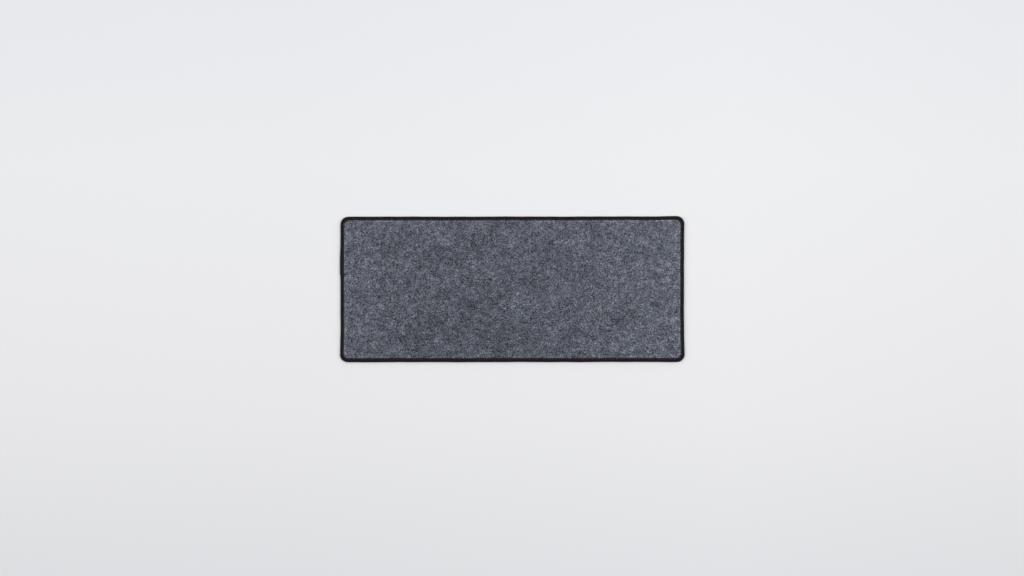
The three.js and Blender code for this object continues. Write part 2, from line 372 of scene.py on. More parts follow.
@dataclass(frozen=True)
class FeltFinish(Finish):
    """Mottled needled felt: curled strands in many directions over clouds, with a few flecks."""

    name: str = "felt_marl"
    roughness: float = 0.95
    specular: float = 0.08
    sheen: float = 0.06
    tones: tuple[Stop, ...] = (
        (-0.4, linear(22, 23, 27)),
        (0.0, linear(46.5, 47, 52.8)),
        (0.25, linear(68.5, 70, 78.2)),
        (0.5, linear(88.8, 92, 101.5)),
        (0.75, linear(109.1, 114.5, 126)),
        (1.0, linear(150.3, 156.5, 169.6)),
        (1.4, linear(190, 195, 209)),
    )
    strands: Streaks = Streaks(24.0 * MM, 1.5 * MM, detail=1.5, curl_size=16.0 * MM, apart=0.37)
    strand_weight: float = 0.84
    crest_weight: float = 1.2
    crest_middle: float = 0.66
    hairs: Streaks = Streaks(7.0 * MM, 0.2 * MM, detail=0.0, curl_size=14.0 * MM, apart=0.71)
    hair_weight: float = 1.5
    hair_middle: float = 0.62
    grain_size: float = 1.6 * MM
    grain_detail: float = 1.0
    grain_weight: float = 1.32
    nep_size: float = 3.4 * MM
    nep_weight: float = -0.635
    nep_middle: float = 0.46
    tuft_size: float = 9.0 * MM
    tuft_weight: float = 0.82
    cloud_size: float = 62.0 * MM
    cloud_detail: float = 3.0
    cloud_roughness: float = 0.55
    cloud_weight: float = 0.44
    level: float = 0.443
    # How far each colour swings from strand to strand, the green against the other two
    red_swing: float = 0.24
    green_swing: float = -0.048
    blue_swing: float = 0.225
    fleck_colour: Colour = linear(196, 162, 126)
    fleck_spacing: float = 95.0 * MM
    fleck_radius: float = 1.45 * MM
    fleck_share: float = 0.3
    # Painted light: how much the tone of the margin beside the band is lifted
    margin_lift: float = 0.07
    end_lift: float = 0.092
    slope_lift: float = 0.052
    left_lift: float = 0.085
    right_lift: float = -0.045
    side_power: float = 10.0
    far_lift: float = 0.03
    half_width: float = field(kw_only=True)
    half_depth: float = field(kw_only=True)
    relief_depth: float = 0.25 * MM

    def wire(self, graph: NodeGraph, shader: bpy.types.Node) -> None:
        """Add the marl and its relief.

        Args:
            graph: tree of the material.
            shader: its principled shader.
        """
        place = graph.place()
        curled = self.strands.curled(graph, place)
        layers = self.strands.layers(graph, curled)
        strands = [layer["Fac"] for layer in layers]
        strand = graph.math("DIVIDE", graph.joint("ADD", strands), len(strands))
        crest = graph.joint("MAXIMUM", strands)
        hairs = self.hairs.layers(graph, self.hairs.curled(graph, place))
        hair = graph.joint("MAXIMUM", [layer["Fac"] for layer in hairs])
        grain = graph.noise(place, self.grain_size, self.grain_detail)["Fac"]
        nep = graph.cells(curled, self.nep_size)["Distance"]
        tuft = graph.noise(curled, self.tuft_size)["Fac"]
        cloud = graph.noise(place, self.cloud_size, self.cloud_detail, self.cloud_roughness)["Fac"]
        tone = graph.joint(
            "ADD",
            [
                self.level,
                self.drift(graph, place),
                graph.swing(strand, self.strand_weight),
                graph.swing(crest, self.crest_weight, self.crest_middle),
                graph.swing(hair, self.hair_weight, self.hair_middle),
                graph.swing(grain, self.grain_weight),
                graph.swing(nep, self.nep_weight, self.nep_middle),
                graph.swing(tuft, self.tuft_weight),
                graph.swing(cloud, self.cloud_weight),
            ],
        )
        marl = graph.vector("MULTIPLY", graph.ramp(tone, self.tones), self.hue(graph, layers))
        inputs = {"Factor": self.fleck(graph, place), "A": marl, "B": (*self.fleck_colour, 1.0)}
        mixed = graph.node("ShaderNodeMix", inputs, data_type="RGBA")
        graph.feed(shader, "Base Color", graph.enabled(mixed.outputs, "Result"))
        self.relief(graph, shader, tone, self.relief_depth)

    def hue(self, graph: NodeGraph, layers: Sequence[Any]) -> Any:
        """Vary the colour from strand to strand, apart from its tone.

        Args:
            graph: tree of the material.
            layers: outputs of the strands' noises.

        Returns:
            Socket of the factors of red, green and blue.
        """
        swings = [graph.parts(graph.vector("SUBTRACT", layer["Color"], MIDDLE)) for layer in layers]
        warm, cold = (graph.joint("ADD", [swing[axis] for swing in swings]) for axis in (1, 2))
        both = graph.math("ADD", warm, cold)
        changes = ((warm, self.red_swing), (both, self.green_swing), (cold, self.blue_swing))
        factors = [graph.math("ADD", graph.math("MULTIPLY", *change), 1.0) for change in changes]
        return graph.joined(*factors)

    def fleck(self, graph: NodeGraph, place: Any) -> Any:
        """Add a few small specks of lint.

        Args:
            graph: tree of the material.
            place: coordinates.

        Returns:
            Socket that is above nought on a speck.
        """
        cells = graph.cells(place, self.fleck_spacing)
        away = graph.math("DIVIDE", cells["Distance"], self.fleck_radius / self.fleck_spacing)
        inside = graph.math("MAXIMUM", graph.math("SUBTRACT", 1.0, away), 0.0)
        kept = graph.math("LESS_THAN", graph.parts(cells["Color"])[0], self.fleck_share)
        return graph.math("MULTIPLY", inside, kept)

    def drift(self, graph: NodeGraph, place: Any) -> Any:
        """Add the slow change of tone along and across the cut piece, and the painted light that lifts
        the margin beside the band.

        Args:
            graph: tree of the material.
            place: coordinates.

        Returns:
            Socket of the change.
        """
        parts = graph.parts(place)
        along = graph.math("DIVIDE", parts[0], self.half_width)
        across = graph.math("DIVIDE", parts[1], self.half_depth)
        changes = [
            (graph.math("MULTIPLY", along, along), self.end_lift),
            (along, self.slope_lift),
            (across, self.far_lift),
            # painted light on the margin beside the band
            (graph.attribute("margin"), self.margin_lift),
        ]
        for way, lift in ((-1.0, self.left_lift), (1.0, self.right_lift)):
            outwards = graph.math("MAXIMUM", graph.math("MULTIPLY", along, way), 0.0)
            changes.append((graph.math("POWER", outwards, self.side_power), lift))
        return graph.joint("ADD", [graph.math("MULTIPLY", value, lift) for value, lift in changes])


class FibreTone(Enum):
    """Tones of loose fibre, each with its darkest and lightest linear colour."""

    PALE = (linear(112, 117, 127), linear(156, 161, 172))
    DARK = (linear(46, 48, 55), linear(84, 88, 97))


@dataclass(frozen=True)
class FibreFinish(Finish):
    """Loose fibres of the felt, each with a tone of its own."""

    roughness: float = 0.9
    specular: float = 0.1
    tone: FibreTone = FibreTone.PALE

    def wire(self, graph: NodeGraph, shader: bpy.types.Node) -> None:
        """Colour each fibre by its tone."""
        self.tint(graph, shader, graph.attribute("tone"), zip((0.0, 1.0), self.tone.value))


@dataclass(frozen=True)
class ThreadFinish(Finish):
    """Black textured sewing yarn with the twist of its plies, and painted shade in the grooves between
    them.
    """

    name: str = "black_yarn"
    roughness: float = 0.7
    specular: float = 0.16
    sheen: float = 0.03
    # Darkest and lightest yarn; the ply wave between them paints shade in the grooves, and each stitch's
    # own tone sits between them too
    dark: Colour = (0.0048, 0.0022, 0.0041)
    light: Colour = (0.0145, 0.0094, 0.0132)
    plies: float = 3.0
    twist: float = 2.4 * MM
    tone_share: float = 0.35
    relief_depth: float = 0.12 * MM

    def wire(self, graph: NodeGraph, shader: bpy.types.Node) -> None:
        """Add the ply twist, from the length and turn that the thread's own map carries, with painted
        shade darkening the grooves between plies.

        Args:
            graph: tree of the material.
            shader: its principled shader.
        """
        run = graph.parts(graph.node("ShaderNodeUVMap", uv_map="UVMap").outputs["UV"])
        lay = graph.math("DIVIDE", run[0], self.twist)
        turns = graph.math("ADD", lay, graph.math("MULTIPLY", run[1], self.plies))
        wave = graph.math("SINE", graph.math("MULTIPLY", turns, math.tau))
        ply = graph.math("ADD", graph.math("MULTIPLY", wave, 0.5), 0.5)
        own = graph.math("MULTIPLY", graph.attribute("tone"), self.tone_share)
        # Painted shade: the ply wave darkens the grooves between plies, mixed with each stitch's own tone
        tone = graph.math("ADD", graph.math("MULTIPLY", ply, 1.0 - self.tone_share), own)
        self.tint(graph, shader, tone, [(0.0, self.dark), (1.0, self.light)])
        self.relief(graph, shader, ply, self.relief_depth)


@dataclass(frozen=True)
class RubberFinish(Finish):
    """Dull black rubber with a fine bloom."""

    name: str = "dull_rubber"
    roughness: float = 0.72
    specular: float = 0.3
    dark: Colour = (0.010, 0.010, 0.011)
    light: Colour = (0.020, 0.020, 0.021)
    bloom_size: float = 24.0 * MM
    bloom_detail: float = 4.0
    bloom_roughness: float = 0.6
    bloom_range: Pair = (0.25, 0.75)
    grain_size: float = 0.8 * MM
    relief_depth: float = 0.05 * MM

    def wire(self, graph: NodeGraph, shader: bpy.types.Node) -> None:
        """Add the bloom and the moulded grain.

        Args:
            graph: tree of the material.
            shader: its principled shader.
        """
        place = graph.place()
        bloom = graph.noise(place, self.bloom_size, self.bloom_detail, self.bloom_roughness)["Fac"]
        self.tint(graph, shader, bloom, zip(self.bloom_range, (self.dark, self.light)))
        self.relief(graph, shader, graph.noise(place, self.grain_size)["Fac"], self.relief_depth)


@dataclass(frozen=True)
class FilmFinish(Finish):
    """Pale web of hot-melt adhesive."""

    name: str = "adhesive_web"
    roughness: float = 0.5
    specular: float = 0.4
    thin: Colour = (0.42, 0.40, 0.35)
    thick: Colour = (0.62, 0.60, 0.54)
    web_size: float = 5.0 * MM
    web_detail: float = 3.0
    web_roughness: float = 0.6
    web_range: Pair = (0.35, 0.65)

    def wire(self, graph: NodeGraph, shader: bpy.types.Node) -> None:
        """Add the web."""
        web = graph.noise(graph.place(), self.web_size, self.web_detail, self.web_roughness)["Fac"]
        self.tint(graph, shader, web, zip(self.web_range, (self.thin, self.thick)))


@dataclass(frozen=True)
class FloorFinish(Finish):
    """Pale matt table with painted shade, a little darker towards the viewer and the sides."""

    name: str = "pale_table"
    roughness: float = 1.0
    specular: float = 0.0
    # Places from the near side to the far one in metres, with the colour there, painted shade included
    depths: tuple[Stop, ...] = (
        (-0.6, linear(223, 224, 227)),
        (-0.25, linear(233, 233, 235)),
        (0.0, linear(236, 236, 238)),
        (0.25, linear(237, 238, 240)),
        (0.6, linear(234, 235, 239)),
    )
    # Places from left to right in metres, with the share of that colour: painted shade towards the sides,
    # painted light right of the middle
    widths: tuple[Pair, ...] = (
        (-1.0, 0.978),
        (-0.45, 0.985),
        (0.0, 1.0),
        (0.45, 1.015),
        (1.0, 0.989),
    )

    def wire(self, graph: NodeGraph, shader: bpy.types.Node) -> None:
        """Add the painted shade gradients from the near side to the far one and from left to right.

        Args:
            graph: tree of the material.
            shader: its principled shader.
        """
        parts = graph.parts(graph.place())
        depth = graph.ramp(parts[1], self.depths)
        width = graph.ramp(parts[0], [(at, (level,) * 3) for at, level in self.widths])
        graph.feed(shader, "Base Color", graph.vector("MULTIPLY", depth, width))


@dataclass(frozen=True)
class Stations:
    """Places along the outline, with their outward directions and depths of seam."""

    places: np.ndarray
    outward: np.ndarray
    bite: np.ndarray

    def ring(self, inset: float, height: float | np.ndarray) -> np.ndarray:
        """Lay a loop beside the outline.

        Args:
            inset: distance in from the outline.
            height: height above the table.

        Returns:
            One point per station.
        """
        flat = self.places - self.outward * (inset * self.bite)[:, None]
        return np.column_stack([flat, np.broadcast_to(height, len(flat))])


@dataclass(frozen=True)
class Outline:
    """Rounded outline, drawn in a little between its uneven corners, walked anticlockwise from above."""

    width: float
    depth: float
    corner_radius: float = 15.5 * MM
    draw_power: float = 6.0
    corner_reach: float = 25.0 * MM
    shift_reach: float = 60.0 * MM
    waver: float = 0.125 * MM
    # Number of waves round the outline, phase and share of each waver
    waves: tuple[Triple, ...] = ((9.0, 0.4, 1.0), (23.0, 2.1, 0.7), (41.0, 0.0, 0.5))

    @property
    def reach(self) -> np.ndarray:
        """Distances from the middle to the corners' centres, along and across."""
        return np.array([0.5 * self.width, 0.5 * self.depth]) - self.corner_radius

    @property
    def corner_length(self) -> float:
        """Length of one corner's arc."""
        return 0.5 * math.pi * self.corner_radius

    @property
    def runs(self) -> list[float]:
        """Lengths of the straight runs, one after each corner."""
        return [*(2.0 * self.reach), *(2.0 * self.reach)]

    @property
    def length(self) -> float:
        """Length of the whole outline."""
        return sum(self.runs) + 4.0 * self.corner_length

    def run_start(self, number: int) -> float:
        """Give the distance along the outline at which a straight run starts."""
        return sum(self.runs[:number]) + (number + 1) * self.corner_length

    @staticmethod
    def facing(quarters: float | np.ndarray) -> np.ndarray:
        """Give the direction after so many quarter turns from the right."""
        angle = 0.5 * math.pi * quarters
        return np.stack([np.cos(angle), np.sin(angle)], axis=-1)

    def stations(self, distances: np.ndarray) -> Stations:
        """Find the places at given distances.

        Args:
            distances: distances along the outline, from nought to its length.

        Returns:
            The places.
        """
        places = np.zeros((len(distances), 2))
        outward = np.zeros((len(distances), 2))
        bite = np.ones(len(distances))
        before = Side.RIGHT
        for number, (corner, side, run) in enumerate(zip(Corner, Side, self.runs)):
            start = self.run_start(number)
            centre = self.reach * corner.way
            turning = (distances >= start - self.corner_length) & (distances < start)
            share = (distances[turning] - start) / self.corner_length + 1.0
            outward[turning] = self.facing(number + share)
            places[turning] = centre + self.corner_radius * outward[turning]
            bite[turning] = before.bite + (side.bite - before.bite) * smooth(share)
            straight = (distances >= start) & (distances < start + run)
            along = distances[straight] - start
            drawn = side.draw_in * (1.0 - np.abs(2.0 * along / run - 1.0) ** self.draw_power)
            outward[straight] = self.facing(number + 1.0)
            places[straight] = centre + along[:, None] * self.facing(number + 2.0)
            places[straight] += (self.corner_radius - drawn)[:, None] * outward[straight]
            bite[straight] = side.bite
            before = side
        turn = math.tau * distances / self.length
        wave = sum(share * np.sin(count * turn + phase) for count, phase, share in self.waves)
        inset = self.waver * wave
        for number, corner in enumerate(Corner):
            middle = self.run_start(number) - 0.5 * self.corner_length
            away = np.abs((distances - middle + 0.5 * self.length) % self.length - 0.5 * self.length)
            near = smooth(np.clip(1.0 - away / self.corner_reach, 0.0, 1.0))
            bite += corner.bite * near
            inset += corner.pull * near
        moved = self.shifts(places) - outward * inset[:, None]
        return Stations(places + moved, outward, bite)

    def shifts(self, places: np.ndarray) -> np.ndarray:
        """Work out how the corners' shifts move places near them.

        Args:
            places: places on the outline.

        Returns:
            One move per place.
        """
        moves = np.zeros_like(places)
        for corner in Corner:
            away = np.linalg.norm(places - self.reach * corner.way, axis=1)
            near = smooth(np.clip(1.0 - away / self.shift_reach, 0.0, 1.0))
            moves += near[:, None] * corner.shift
        return moves

    def even(self, count: int) -> Stations:
        """Find that many evenly spaced places."""
        return self.stations(np.arange(count) * self.length / count)


@dataclass(frozen=True)
class Levels:
    """Heights and insets of the layers, from the frame and a few sizes of the seam."""

    rubber_top: float
    film_top: float
    felt_top: float
    band_top: float
    needle_line: float
    cut_edge: float = 1.1 * MM
    film_edge: float = 2.0 * MM
    pressed_top: float = 3.4 * MM
    pressed_bottom: float = 0.8 * MM
    stud_height: float = 0.3 * MM
    field_start: float = 10.2 * MM
    stitch_pitch: float = 4.5 * MM
    stitch_lean: float = 2.2 * MM
    needle_half: float = 0.4 * MM

    @classmethod
    def from_frame(cls) -> Levels:
        """Read the levels off the CAD nodes.

        Returns:
            The levels.
        """
        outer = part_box("upper_looper_thread")[1]
        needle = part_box("needle_thread")
        needle_line = outer.x - needle[1].x + cls.needle_half
        tops = [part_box(node)[1].z for node in ("rubber_base", "adhesive_film", "felt_top")]
        return cls(*tops, outer.z, needle_line)


def new_piece(name: str, points: np.ndarray, faces: Sequence[Sequence[int]]) -> bpy.types.Object:
    """Make a smooth mesh object.

    Args:
        name: name of the object.
        points: corner points.
        faces: corner numbers of each face.

    Returns:
        The object, linked to the scene.
    """
    mesh = bpy.data.meshes.new(name)
    mesh.from_pydata(points.tolist(), [], faces)
    mesh.shade_smooth()
    return link(name, mesh)


def link(name: str, data: bpy.types.ID | None) -> bpy.types.Object:
    """Put data into the scene as an object.

    Args:
        name: name of the object.
        data: mesh, curve, light or camera.

    Returns:
        The object.
    """
    made = bpy.data.objects.new(name, data)
    bpy.context.scene.collection.objects.link(made)
    return made


def drop_piece(piece: bpy.types.Object) -> None:
    """Remove an object that only helped to make another."""
    bpy.data.batch_remove([piece, piece.data])


def loop_faces(loops: int, count: int) -> list[list[int]]:
    """Join loops of equal length with quads, in the order in which they come.

    Args:
        loops: number of loops.
        count: points in each.

    Returns:
        The faces.
    """
    faces = []
    for low in range(0, (loops - 1) * count, count):
        for place in range(count):
            following = (place + 1) % count
            high = low + count
            faces.append([low + place, low + following, high + following, high + place])
    return faces


def skin(loops: int, count: int) -> list[list[int]]:
    """Join loops of equal length into a closed skin with two caps.

    Args:
        loops: number of loops.
        count: points in each.

    Returns:
        The sides, the first cap and the last one.
    """
    last = (loops - 1) * count
    caps = [list(range(count - 1, -1, -1)), list(range(last, last + count))]
    return loop_faces(loops, count) + caps


def publish(piece: bpy.types.Object, slot: Slot, *nodes: str) -> None:
    """Hand a finished piece to the frame.

    Args:
        piece: the piece.
        slot: finish slot meant for the piece; not used.
        *nodes: CAD nodes that it stands for.
    """
    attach(piece, "root")
    if nodes:
        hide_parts(*nodes)
    LOG.info("piece %s: %d faces", piece.name, len(piece.data.polygons))


class GrowTree:
    """Geometry tree with named inputs, which grows a mesh from a host object."""

    def __init__(self, name: str, **inputs: str) -> None:
        """Start the tree.

        Args:
            name: name of the tree.
            **inputs: names of what it takes besides the geometry, with their kinds.
        """
        self.tree = bpy.data.node_groups.new(name, "GeometryNodeTree")
        self.graph = NodeGraph(self.tree)
        face = self.tree.interface
        face.new_socket("Geometry", in_out="INPUT", socket_type="NodeSocketGeometry")
        face.new_socket("Geometry", in_out="OUTPUT", socket_type="NodeSocketGeometry")
        inputs = {**inputs, "seed": "Int", "material": "Material"}
        self.sockets = {
            label: face.new_socket(label, in_out="INPUT", socket_type=f"NodeSocket{kind}").identifier
            for label, kind in inputs.items()
        }
        self.given = self.graph.node("NodeGroupInput").outputs

    def solid(self, name: str) -> Any:
        """Give the socket of the geometry of an object that the tree takes."""
        return self.graph.node("GeometryNodeObjectInfo", {"Object": self.given[name]}).outputs["Geometry"]

    def moved(self, geometry: Any, **where: Any) -> Any:
        """Move geometry, by a vector called Offset or to one called Position, and give its socket."""
        return self.graph.node("GeometryNodeSetPosition", {"Geometry": geometry, **where}).outputs[0]

    def random(self, low: Any, high: Any, draw: Draw) -> Any:
        """Add a random number for each point, from the tree's seed.

        Args:
            low: least value.
            high: greatest value.
            draw: which draw it is.

        Returns:
            The number's socket.
        """
        seed = self.graph.math("ADD", self.given["seed"], float(draw.value))
        inputs = {"Min": low, "Max": high, "Seed": seed}
        made = self.graph.node("FunctionNodeRandomValue", inputs, data_type="FLOAT")
        return self.graph.enabled(made.outputs, "Value")

    def either_way(self, reach: Any, draw: Draw) -> Any:
        """Add a random number for each point, up to a reach either way of nought."""
        return self.random(self.graph.math("MULTIPLY", reach, -1.0), reach, draw)

    def toned(self, **inputs: Any) -> Any:
        """Put instances on points, give each a tone of its own and make them real.

        Args:
            **inputs: inputs of the instancing node, with low lines for spaces.

        Returns:
            Socket of the real geometry.
        """
        inputs = {name.replace("_", " "): value for name, value in inputs.items()}
        made = self.graph.node("GeometryNodeInstanceOnPoints", inputs).outputs["Instances"]
        inputs = {"Geometry": made, "Name": "tone", "Value": self.random(0.0, 1.0, Draw.TONE)}
        settings = {"data_type": "FLOAT", "domain": "INSTANCE"}
        stored = self.graph.node("GeometryNodeStoreNamedAttribute", inputs, **settings).outputs[0]
        return self.graph.node("GeometryNodeRealizeInstances", {0: stored}).outputs[0]

    def close(self, geometry: Any) -> None:
        """Set the material of the real geometry and end the tree."""
        inputs = {"Geometry": geometry, "Material": self.given["material"]}
        dressed = self.graph.node("GeometryNodeSetMaterial", inputs).outputs["Geometry"]
        self.graph.node("NodeGroupOutput", {"Geometry": dressed})

    def grow(self, host: bpy.types.Object, **values: Any) -> bpy.types.Object:
        """Run the tree on a host and keep the result as its plain mesh.

        Args:
            host: object whose mesh goes in.
            **values: values of the named inputs.

        Returns:
            The host with its new mesh.
        """
        modifier = host.modifiers.new(self.tree.name, "NODES")
        modifier.node_group = self.tree
        for name, value in values.items():
            modifier[self.sockets[name]] = value
        host.update_tag()
        graph = bpy.context.evaluated_depsgraph_get()
        graph.update()
        mesh = bpy.data.meshes.new_from_object(host.evaluated_get(graph))
        host.modifiers.remove(modifier)
        spent = host.data
        host.data = mesh
        mesh.name = host.name
        bpy.data.meshes.remove(spent)
        return host


class SewnTree(GrowTree):
    """Repeats a stitch along a straight line and bends the line round a path."""

    def __init__(self) -> None:
        """Build the tree."""
        super().__init__(
            "sewn_band",
            path="Object",
            stitch="Object",
            stitch_length="Float",
            stitches="Int",
            start="Float",
            span="Float",
            unevenness="Float",
            lead_in="Float",
            narrowing="Float",
            sinking="Float",
        )
        path = self.solid("path")
        length = self.graph.node("GeometryNodeCurveLength", {"Curve": path}).outputs["Length"]
        sewn = self.graph.math("MULTIPLY", length, self.given["span"])
        pitch = self.graph.math("DIVIDE", sewn, self.given["stitches"])
        self.close(self.bent(self.straight(pitch), path, length))

    def straight(self, pitch: Any) -> Any:
        """Lay the stitches in a straight line.

        Args:
            pitch: socket of the distance between stitches.

        Returns:
            Socket of the real stitches.
        """
        graph, given = self.graph, self.given
        step = graph.joined(pitch)
        first = graph.vector("SCALE", step, 0.5)
        inputs = {"Count": given["stitches"], "Start Location": first, "Offset": step}
        line = graph.node("GeometryNodeMeshLine", inputs).outputs["Mesh"]
        slide = graph.math("MULTIPLY", self.either_way(given["unevenness"], Draw.SLIDE), pitch)
        points = self.moved(line, Offset=graph.joined(slide))
        past = graph.math("ADD", graph.node("GeometryNodeInputIndex").outputs[0], 0.5)
        lack = graph.math("SUBTRACT", 1.0, graph.math("DIVIDE", past, given["lead_in"], clamp=True))
        sizes = [graph.math("DIVIDE", pitch, given["stitch_length"])]
        for draw, loss in ((Draw.WIDTH, "narrowing"), (Draw.HEIGHT, "sinking")):
            size = graph.math("ADD", 1.0, self.either_way(given["unevenness"], draw))
            sizes.append(graph.math("SUBTRACT", size, graph.math("MULTIPLY", lack, given[loss])))
        return self.toned(Points=points, Instance=self.solid("stitch"), Scale=graph.joined(*sizes))

    def bent(self, geometry: Any, path: Any, length: Any) -> Any:
        """Bend straight stitches round the path.

        Args:
            geometry: socket of the real stitches, with x along, y inwards and z up.
            path: socket of the path.
            length: socket of its length.

        Returns:
            Socket of the bent stitches.
        """
        graph = self.graph
        along, inset, height = graph.parts(graph.node("GeometryNodeInputPosition").outputs[0])
        share = graph.math("ADD", graph.math("DIVIDE", along, length), self.given["start"])
        inputs = {
            "Curves": path,
            "Value": graph.node("GeometryNodeInputRadius").outputs[0],
            "Factor": graph.math("FRACT", share),
        }
        sample = graph.node("GeometryNodeSampleCurve", inputs, mode="FACTOR", data_type="FLOAT")
        bite = graph.enabled(sample.outputs, "Value")
        inwards = graph.vector("CROSS_PRODUCT", (0.0, 0.0, 1.0), sample.outputs["Tangent"])
        inwards = graph.vector("SCALE", inwards, graph.math("MULTIPLY", inset, bite))
        spot = graph.vector("ADD", sample.outputs["Position"], inwards)
        return self.moved(geometry, Position=graph.vector("ADD", spot, graph.joined(0.0, 0.0, height)))


class ScatterTree(GrowTree):
    """Scatters one of several small shapes over a surface."""

    def __init__(self) -> None:
        """Build the tree."""
        super().__init__(
            "scattered_fibres",
            shapes="Collection",
            density="Float",
            least_size="Float",
            greatest_size="Float",
            tilt="Float",
        )
        graph, given = self.graph, self.given
        inputs = {"Mesh": given["Geometry"], "Density": given["density"], "Seed": given["seed"]}
        points = graph.node("GeometryNodeDistributePointsOnFaces", inputs).outputs["Points"]
        inputs = {"Collection": given["shapes"], "Separate Children": True, "Reset Children": True}
        shapes = graph.node("GeometryNodeCollectionInfo", inputs).outputs["Instances"]
        angles = [self.either_way(given["tilt"], draw) for draw in (Draw.PITCH, Draw.ROLL)]
        turn = graph.joined(*angles, self.random(0.0, math.tau, Draw.TURN))
        size = self.random(given["least_size"], given["greatest_size"], Draw.SIZE)
        fibres = self.toned(
            Points=points,
            Instance=shapes,
            Pick_Instance=True,
            Rotation=graph.node("FunctionNodeEulerToRotation", {0: turn}).outputs[0],
            Scale=graph.joined(size, size, size),
        )
        self.close(fibres)


class StudTree(GrowTree):
    """Repeats a stud in staggered rows."""

    def __init__(self) -> None:
        """Build the tree."""
        super().__init__(
            "staggered_studs", stud="Object", width="Float", depth="Float", columns="Int", rows="Int"
        )
        graph, given = self.graph, self.given
        inputs = {
            "Size X": given["width"],
            "Size Y": given["depth"],
            "Vertices X": given["columns"],
            "Vertices Y": given["rows"],
        }
        grid = graph.node("GeometryNodeMeshGrid", inputs).outputs["Mesh"]
        row = graph.math("MODULO", graph.node("GeometryNodeInputIndex").outputs[0], given["rows"])
        odd = graph.math("MODULO", row, 2.0)
        step = graph.math("DIVIDE", given["width"], graph.math("SUBTRACT", given["columns"], 1.0))
        slide = graph.math("MULTIPLY", graph.swing(odd, 0.5), step)
        points = self.moved(grid, Offset=graph.joined(slide))
        self.close(self.toned(Points=points, Instance=self.solid("stud")))


